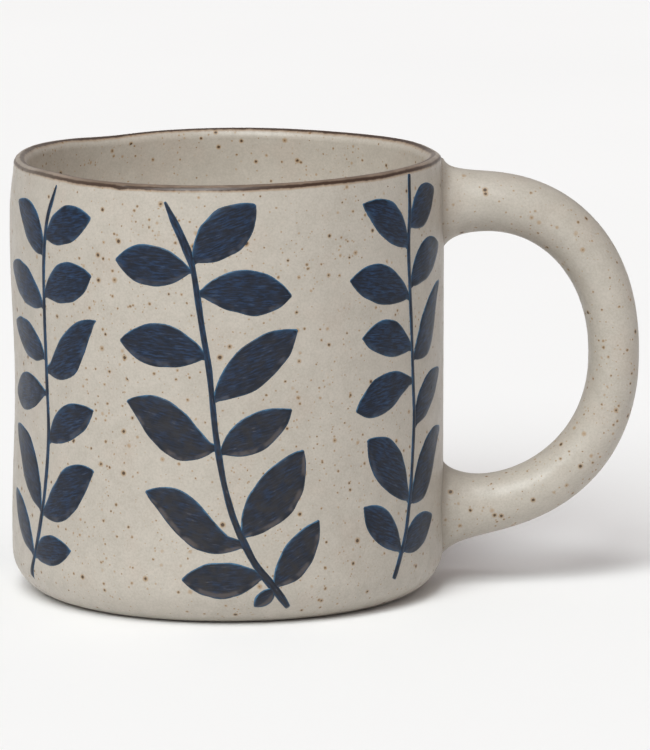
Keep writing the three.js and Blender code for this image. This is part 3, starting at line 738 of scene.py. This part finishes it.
class MUG_OT_handle(bpy.types.Operator):
    """Extrude a rod, bend it into the handle and spread its ends on the wall"""

    bl_idname = "mug.handle"
    bl_label = "Handle"

    STATIONS = 170
    SIDES = 72
    UPPER_FULLNESS = 0.92
    LOWER_FULLNESS = 0.93
    ROOT_DEPTH = 2.2 * MM  # how far the ends are set into the wall
    CROWDING = 0.65  # how much the sections crowd towards the joints, where the flare is
    # The flare of each joint on its outer and its inner side: how much of it, and how far along the arm it is
    # felt. Then how much of the fillet each side has.
    UPPER_FLARES = ((1.0, 3.3 * MM), (0.52, 3 * MM))
    LOWER_FLARES = ((1.35, 4.5 * MM), (1.06, 4.4 * MM))
    UPPER_FILLETS = (1, 0.15)
    LOWER_FILLETS = (0.15, 0.6)
    FILLET_LENGTH = 0.8 * MM
    SIDE_FLARE = 0.3  # how much of the flare the ends spread sideways
    UPPER_SAG = (1.7 * MM, 2.3 * MM)  # how far the joint sits below its arm, and over what length
    LOWER_SAG = (0.3 * MM, 5 * MM)
    RIDGE = 0.4 * MM  # height of the ridge left where each joint was smoothed
    RIDGE_PLACE = 2.5 * MM
    RIDGE_WIDTH = 0.8 * MM
    BEND_LENGTH = 6 * MM  # how far from the wall the sections bend to its roundness
    WOBBLE = 0.16 * MM  # the unevenness of a pulled handle
    CREASE_WIDTH = 1.5 * MM  # how far out from the wall the joint is darkened, by pooled glaze and painted shade in the crease

    def centre_line(self, sizes):
        """Evenly spaced points of the centre line, from the upper joint to the lower, and its length."""
        top = sizes.height - sizes.handle_below_lip
        bottom = sizes.handle_above_base
        inside = sizes.radius - self.ROOT_DEPTH
        turn = np.linspace(0, math.pi, 241)
        upper = turn < math.pi / 2
        fullness = np.where(upper, self.UPPER_FULLNESS, self.LOWER_FULLNESS)
        arm = np.where(upper, sizes.upper_arm, sizes.lower_arm)
        out = sizes.radius + arm + (sizes.handle_reach - arm) * np.abs(np.sin(turn)) ** fullness
        rise = np.sign(np.cos(turn)) * np.abs(np.cos(turn)) ** fullness
        up = (top + bottom) / 2 + (top - bottom) / 2 * rise
        out = np.concatenate([[inside], out, [inside]])
        up = np.concatenate([[top], up, [bottom]])
        return smooth_path(out, up, 1201, 30)

    def execute(self, context):
        sizes, finish = context.scene.mug_sizes, context.scene.mug_finish
        rod = extruded("handle_clay", self.SIDES, [(1, i) for i in range(self.STATIONS + 1)])
        even, out, up = self.centre_line(sizes)
        places = points_of(rod)
        steps = places[:, 2] / self.STATIONS
        share = (1 - self.CROWDING) * steps + self.CROWDING * (0.5 - 0.5 * np.cos(math.pi * steps))
        at = share * even[-1]
        centre_x, centre_z, along_x, along_z = on_path(at, even, out, up)
        normal_x, normal_z = -along_z, along_x

        from_wall = np.maximum(centre_x - sizes.radius, 0)
        outer_side, lower_half = places[:, 0] > 0, share > 0.5

        def by_side(upper, lower):
            return np.where(lower_half, np.where(outer_side, *lower), np.where(outer_side, *upper))

        # Each joint spreads widest at its top and bottom, and furthest round the lower arm.
        flares = [[sizes.flare * amount * np.exp(-from_wall / run) for amount, run in joint]
                  for joint in (self.UPPER_FLARES, self.LOWER_FLARES)]
        spread = by_side(*flares)
        fillet = sizes.fillet * np.exp(-from_wall / self.FILLET_LENGTH)
        fillet *= by_side(self.UPPER_FILLETS, self.LOWER_FILLETS)
        ridge = self.RIDGE * np.exp(-((from_wall - self.RIDGE_PLACE) / self.RIDGE_WIDTH) ** 2)
        ridge *= np.where(lower_half, 1, 0.4) * np.abs(places[:, 1]) ** 2
        thickness = sizes.upper_thickness + (sizes.lower_thickness - sizes.upper_thickness) * share
        half = (thickness - sizes.grip_thinning * np.sin(math.pi * share) ** 6) / 2
        across = places[:, 0] * (half + spread + fillet)
        side_spread = self.SIDE_FLARE * (flares[0][1] + flares[0][0] / 2)
        sideways = places[:, 1] * (half + sizes.extra_width / 2 + side_spread + ridge)
        x = centre_x + normal_x * across
        (upper_sag, upper_length), (lower_sag, lower_length) = self.UPPER_SAG, self.LOWER_SAG
        sag = np.where(lower_half, lower_sag * np.exp(-from_wall / lower_length),
                       upper_sag * np.exp(-from_wall / upper_length))
        z = centre_z + normal_z * across - sag
        curve = np.sqrt(np.maximum(sizes.radius ** 2 - sideways ** 2, 0)) - sizes.radius
        x += curve * np.exp(-(from_wall / self.BEND_LENGTH) ** 2)
        unevenness = [noise.noise(Vector((a * 26, b * 90, 0.3))) for a, b in zip(at, sideways)]
        wobble = self.WOBBLE * np.array(unevenness) * smoothstep(from_wall, 0, self.BEND_LENGTH)
        x += normal_x * wobble
        z += normal_z * wobble
        move_points(rod, np.stack([x, sideways, z], axis=-1))
        from_surface = np.hypot(x, sideways) - sizes.radius
        # How dark the joint's crease is painted: pooled glaze and painted shade, strongest on the handle's
        # front and back.
        crease = np.exp(-(from_surface / self.CREASE_WIDTH) ** 2) * np.abs(places[:, 1]) ** 0.5
        write_values(rod, crease=crease)
        face_outwards(rod)
        finish_piece(rod, glaze_material("speckled handle glaze", finish, 1.35), "speckled_glaze", "handle")
        return {"FINISHED"}


class MUG_OT_vines(bpy.types.Operator):
    """Paint the six vines as thin raised coats on the wall"""

    bl_idname = "mug.vines"
    bl_label = "Vines"

    DIP = 0.025 * MM  # how far a coat's edge runs in under the glaze
    DEPTH = 0.12 * MM  # thickness of the coat below that
    END_MM = 0.25  # half the width of a leaf's tip
    ROOT_MM = 0.85  # half the width of its root
    BRUSH_TURN = 0.5  # how far the strokes in a leaf turn with it
    BLUNTNESS = 0.88  # less than 1 fills out a leaf's ends
    STEM_SIDE = -0.15  # which side's edge a stem is coloured like, from -1 below to 1 above
    CHARCOAL_FROM = (58, 30)  # heights between which the vines turn charcoal, in millimetres
    STEM_EDGE = 2.2  # how much faster than a leaf a stem turns from its edge's colours to its middle's

    def sheet(self, along_steps, across_steps):
        """A flat grid, and its points' places along it from 0 to 1 and across it from -1 to 1."""
        select_only()
        bpy.ops.mesh.primitive_grid_add(x_subdivisions=along_steps, y_subdivisions=across_steps, size=2)
        piece = bpy.context.active_object
        places = points_of(piece)
        return piece, (places[:, 0] + 1) / 2, places[:, 1]

    def lay(self, piece, turn, side, flat_x, flat_z, lift, sizes):
        """Lays a sheet's points on the wall, from their places on the flat pattern in millimetres."""
        angle = math.radians(turn) + side * flat_x / PATTERN_RADIUS_MM
        height = flat_z * MM
        move_points(piece, on_cup(angle, outside_radius(height, sizes) + lift, height, sizes))
        face = piece.data.polygons[len(piece.data.polygons) // 2]
        if face.normal.x * face.center.x + face.normal.y * face.center.y < 0:
            piece.data.flip_normals()

    def charcoal_at(self, height, charcoal, least):
        """How charcoal the cobalt is at a height on the pattern, from its least share upwards."""
        return charcoal * (least + (1 - least) * smoothstep(height, *self.CHARCOAL_FROM))

    def keep_brush(self, piece, number, along_mm, across_mm, from_edge, upper, bleed):
        """Keeps what the cobalt's material reads: the brush's way, and how far each point is from an edge."""
        brush = piece.data.uv_layers.active or piece.data.uv_layers.new()
        brush.name = "brush"
        corner = np.empty(len(piece.data.loops), np.int32)
        piece.data.loops.foreach_get("vertex_index", corner)
        spread = np.stack([along_mm * 0.1 + 3.7 * number, across_mm * 0.1 + 1.9 * number], axis=-1)
        brush.data.foreach_set("uv", np.ascontiguousarray(spread[corner], np.float32).ravel())
        write_values(piece, from_edge=from_edge, upper_side=upper, bleed=bleed)

    def thicken(self, piece):
        select_only(piece)
        modifier = piece.modifiers.new("coat", "SOLIDIFY")
        modifier.thickness = self.DEPTH
        modifier.offset = -1
        bpy.ops.object.modifier_apply(modifier=modifier.name)

    def spread(self, share, first, second):
        """Half the width of a leaf along it, through its spread at one third and two thirds."""
        root, tip = 3 * first - 1.5 * second, 3 * second - 1.5 * first
        half = 3 * (1 - share) * share * ((1 - share) * root + share * tip)
        fullest = 1.05 * max(first, second)
        return fullest * (np.maximum(half, 0) / fullest) ** self.BLUNTNESS

    def leaf(self, number, turn, side, stem, leaf, charcoal, sizes):
        root_z, reach, rise, *spread = leaf
        piece, share, edge = self.sheet(40, 16)
        stem_x, stem_z = np.array(stem).T
        root_x = np.interp(root_z, stem_z[::-1], stem_x[::-1])
        span = math.hypot(reach, rise)
        along = np.array([reach, rise]) / span
        across = np.array([-along[1], along[0]]) * (1 if reach > 0 else -1)
        half = np.where(edge > 0, self.spread(share, *spread[:2]), self.spread(share, *spread[2:]))
        narrowest = self.END_MM + (self.ROOT_MM - self.END_MM) * (1 - smoothstep(share, 0, 0.25))
        half = np.maximum(half, narrowest)
        wobble = [0.3 * noise.noise(Vector((s * span * 0.3, (e > 0) * 4.0, number * 7.3)))
                  for s, e in zip(share, edge)]
        offset = edge * (half + np.array(wobble) * np.abs(edge))
        flat_x = root_x + along[0] * share * span + across[0] * offset
        flat_z = root_z + along[1] * share * span + across[1] * offset
        dome = (1 - np.abs(edge) ** 5) * (1 - np.abs(2 * share - 1) ** 14)
        lift = (sizes.leaf_coat + self.DIP) * dome - self.DIP
        self.lay(piece, turn, side, flat_x, flat_z, lift, sizes)
        from_tip = (1 - share) * span
        from_edge = np.minimum((1 - np.abs(edge)) * half, from_tip)
        bleed = self.charcoal_at(np.full_like(share, root_z), charcoal, 0.4)
        stroke = self.BRUSH_TURN * math.atan(rise / reach)
        stroke_x = flat_x * math.cos(stroke) + flat_z * math.sin(stroke)
        stroke_z = flat_z * math.cos(stroke) - flat_x * math.sin(stroke)
        self.keep_brush(piece, number, stroke_x, stroke_z, from_edge, edge, bleed)
        self.thicken(piece)
        return piece

    def stem(self, number, turn, side, stem, widths, charcoal, sizes):
        piece, share, edge = self.sheet(150, 8)
        even, line_x, line_z = smooth_path(*np.array(stem, float).T, 301, 15)
        at = share * even[-1]
        x, z, along_x, along_z = on_path(at, even, line_x, line_z)
        pressure = [1 + 0.2 * noise.noise(Vector((a * 0.16, number * 5.1, 2.0))) for a in at]
        half = np.interp(z, *np.array(widths).T) / 2 * sizes.stem_width * np.array(pressure)
        offset = edge * half
        dome = (1 - np.abs(edge) ** 4) * (1 - np.abs(2 * share - 1) ** 120)
        lift = (sizes.stem_coat + self.DIP) * dome - self.DIP
        self.lay(piece, turn, side, x - along_z * offset, z + along_x * offset, lift, sizes)
        from_edge = self.STEM_EDGE * np.minimum((1 - np.abs(edge)) * half, np.minimum(at, even[-1] - at))
        bleed = self.charcoal_at(z, charcoal, 0.35)
        self.keep_brush(piece, number, at, offset, from_edge, np.full_like(at, self.STEM_SIDE), bleed)
        self.thicken(piece)
        return piece

    def execute(self, context):
        sizes, finish = context.scene.mug_sizes, context.scene.mug_finish
        cobalt = cobalt_material(finish)
        for place, (node, (turn, side, design, charcoal)) in enumerate(VINES.items()):
            first = 20 * place
            pieces = [self.stem(first, turn, side, design["stem"], design["widths"], charcoal, sizes)]
            for number, leaf in enumerate(design["leaves"], first + 1):
                pieces.append(self.leaf(number, turn, side, design["stem"], leaf, charcoal, sizes))
            select_only(*pieces)
            bpy.ops.object.join()
            vine = context.active_object
            vine.name = vine.data.name = node.replace("vine", "painted_vine")
            bpy.ops.object.shade_smooth()
            finish_piece(vine, cobalt, "cobalt_glaze", node)
        return {"FINISHED"}


class MUG_OT_stage(bpy.types.Operator):
    """Set the floor, the soft lights, the white surroundings and the camera"""

    bl_idname = "mug.stage"
    bl_label = "Stage"

    def light(self, name, around, elevation, spread, strength, tint):
        """A broad light, around degrees from the front towards the handle and elevation degrees up."""
        around, elevation = math.radians(around), math.radians(elevation)
        level = math.cos(elevation)
        place = Vector((level * math.sin(around), -level * math.cos(around), math.sin(elevation)))
        bpy.ops.object.light_add(type="SUN", location=place)
        light = bpy.context.active_object
        light.name = name
        light.data.angle = math.radians(spread)
        light.data.energy = strength
        light.data.color = tint
        light.rotation_euler = (-place).to_track_quat("-Z", "Y").to_euler()

    def execute(self, context):
        stage = context.scene.mug_stage
        select_only()
        bpy.ops.mesh.primitive_circle_add(vertices=96, radius=9, fill_type="NGON", location=(0, 0, 0))
        floor = context.active_object
        floor.name = "floor"
        material, tree, shader = start_material("pale floor")
        shade = tree.noise(tree.put("ShaderNodeTexCoord").outputs["Object"], 3.0, 2.0)
        darker = tuple(c * 0.985 for c in stage.floor_colour)
        base = tree.mix(tree.ramp(shade, 0.3, 0.7), stage.floor_colour, darker)
        tree.links.new(base, shader.inputs["Base Color"])
        shader.inputs["Roughness"].default_value = 0.7
        shader.inputs["Specular IOR Level"].default_value = 0.2
        floor.data.materials.append(material)

        world = bpy.data.worlds.new("white room")
        context.scene.world = world
        world.use_nodes = True
        # The room lights the mug softly. Past the floor's end it shows as white as the floor.
        room = Tree(world.node_tree)
        room.nodes.clear()
        soft = room.put("ShaderNodeBackground", {"Color": (*stage.sky_colour, 1), "Strength": stage.sky})
        shown = room.put("ShaderNodeBackground", {"Color": (*stage.floor_colour, 1)})
        seen = room.put("ShaderNodeLightPath").outputs["Is Camera Ray"]
        both = room.put("ShaderNodeMixShader", {0: seen, 1: soft.outputs[0], 2: shown.outputs[0]})
        room.put("ShaderNodeOutputWorld", {"Surface": both.outputs[0]})

        self.light("key", -23, 40, 34, stage.key, stage.key_colour)
        self.light("top", -12, 66, 20, stage.top, (1, 1, 1))
        bpy.ops.object.light_add(type="POINT", location=(0, 0, 62 * MM))
        fill = context.active_object
        fill.name = "fill"
        fill.data.energy = stage.fill
        fill.data.shadow_soft_size = 14 * MM
        fill.data.color = (1, 0.97, 0.94)
        fill.visible_camera = False
        fill.visible_glossy = False

        back = Vector((0, -math.cos(stage.elevation), math.sin(stage.elevation)))
        place = Vector((0, 0, stage.aim_up)) + back * stage.distance
        target = Vector((stage.aim_right, 0, stage.aim_up))
        bpy.ops.object.camera_add(location=place)
        camera = context.active_object
        camera.rotation_euler = (target - place).to_track_quat("-Z", "Y").to_euler()
        camera.data.sensor_fit = "VERTICAL"
        camera.data.sensor_height = 24
        camera.data.lens = stage.lens
        context.scene.camera = camera
        context.scene.view_settings.view_transform = "Standard"
        return {"FINISHED"}


class MUG_PT_panel(bpy.types.Panel):
    """The mug's pieces and settings"""

    bl_label = "Painted stoneware mug"
    bl_idname = "MUG_PT_panel"
    bl_space_type = "VIEW_3D"
    bl_region_type = "UI"
    bl_category = "Mug"

    def draw(self, context):
        for operator in OPERATORS:
            self.layout.operator(operator.bl_idname)
        for group in (context.scene.mug_sizes, context.scene.mug_finish, context.scene.mug_stage):
            box = self.layout.box()
            for name in group.bl_rna.properties.keys():
                if name not in ("rna_type", "name"):
                    box.prop(group, name)


OPERATORS = (MUG_OT_stage, MUG_OT_cup_body, MUG_OT_lip_band, MUG_OT_handle, MUG_OT_vines)
SETTINGS = (("mug_sizes", MugSizes), ("mug_finish", MugFinish), ("mug_stage", MugStage))


def register():
    for _, settings in SETTINGS:
        bpy.utils.register_class(settings)
    for shown in (*OPERATORS, MUG_PT_panel):
        bpy.utils.register_class(shown)
    for name, settings in SETTINGS:
        setattr(bpy.types.Scene, name, PointerProperty(type=settings))


def unregister():
    for name, _ in SETTINGS:
        delattr(bpy.types.Scene, name)
    for shown in (MUG_PT_panel, *reversed(OPERATORS)):
        bpy.utils.unregister_class(shown)
    for _, settings in reversed(SETTINGS):
        bpy.utils.unregister_class(settings)


def main():
    register()
    bpy.ops.mug.stage()
    bpy.ops.mug.cup_body()
    bpy.ops.mug.lip_band()
    bpy.ops.mug.handle()
    bpy.ops.mug.vines()


if __name__ == "__main__":
    main()
